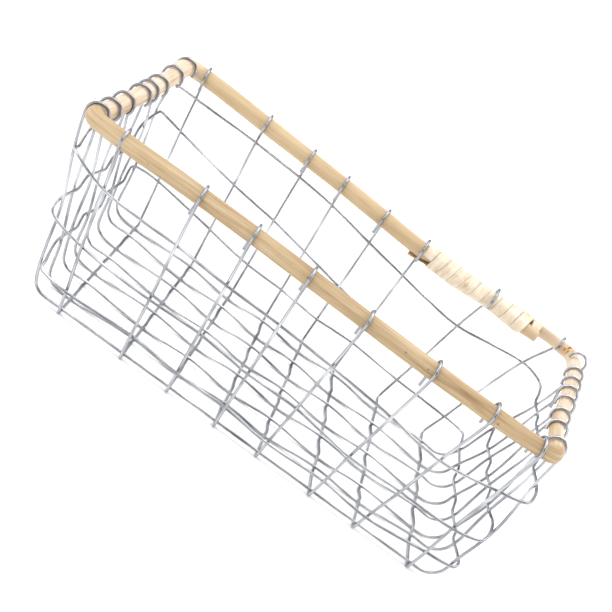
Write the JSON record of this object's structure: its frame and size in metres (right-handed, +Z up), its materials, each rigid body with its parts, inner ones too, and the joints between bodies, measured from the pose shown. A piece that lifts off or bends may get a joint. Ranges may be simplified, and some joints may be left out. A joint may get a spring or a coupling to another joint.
{
  "type": "shopping basket",
  "caption": "Long rectangular open basket of woven galvanised wire, its wires hooked over a bent cane rim whose ends are lapped and bound.",
  "frame": {"origin": "centre of the footprint of the whole basket, on the plane the lowest wires rest on", "axes": "+X along the length with the bound joint at its +X half, +Y from the front long wall to the back long wall that carries the joint, +Z up"},
  "size_m": [0.4324, 0.2708, 0.1549],
  "materials": {
    "galvanised_wire": "satin zinc coating, bright streaks and duller grey patches",
    "cane": "bare rattan cane, pale tan, fine long grain with small brown knots and specks",
    "split_cane": "split rattan skin, pale cream, satin"
  },
  "bodies": {
    "root": {"rim_cane": "cane", "rim_binding_strip": "split_cane", "cross_wire_1": "galvanised_wire", "cross_wire_2": "galvanised_wire", "cross_wire_3": "galvanised_wire", "cross_wire_4": "galvanised_wire", "cross_wire_5": "galvanised_wire", "cross_wire_6": "galvanised_wire", "cross_wire_7": "galvanised_wire", "cross_wire_8": "galvanised_wire", "long_wire_1": "galvanised_wire", "long_wire_2": "galvanised_wire", "long_wire_3": "galvanised_wire", "long_wire_4": "galvanised_wire", "long_wire_5": "galvanised_wire", "long_wire_6": "galvanised_wire", "long_wire_7": "galvanised_wire", "long_wire_8": "galvanised_wire", "ring_wire_upper": "galvanised_wire", "ring_wire_middle": "galvanised_wire", "ring_wire_lower": "galvanised_wire"}
  },
  "joints": []
}
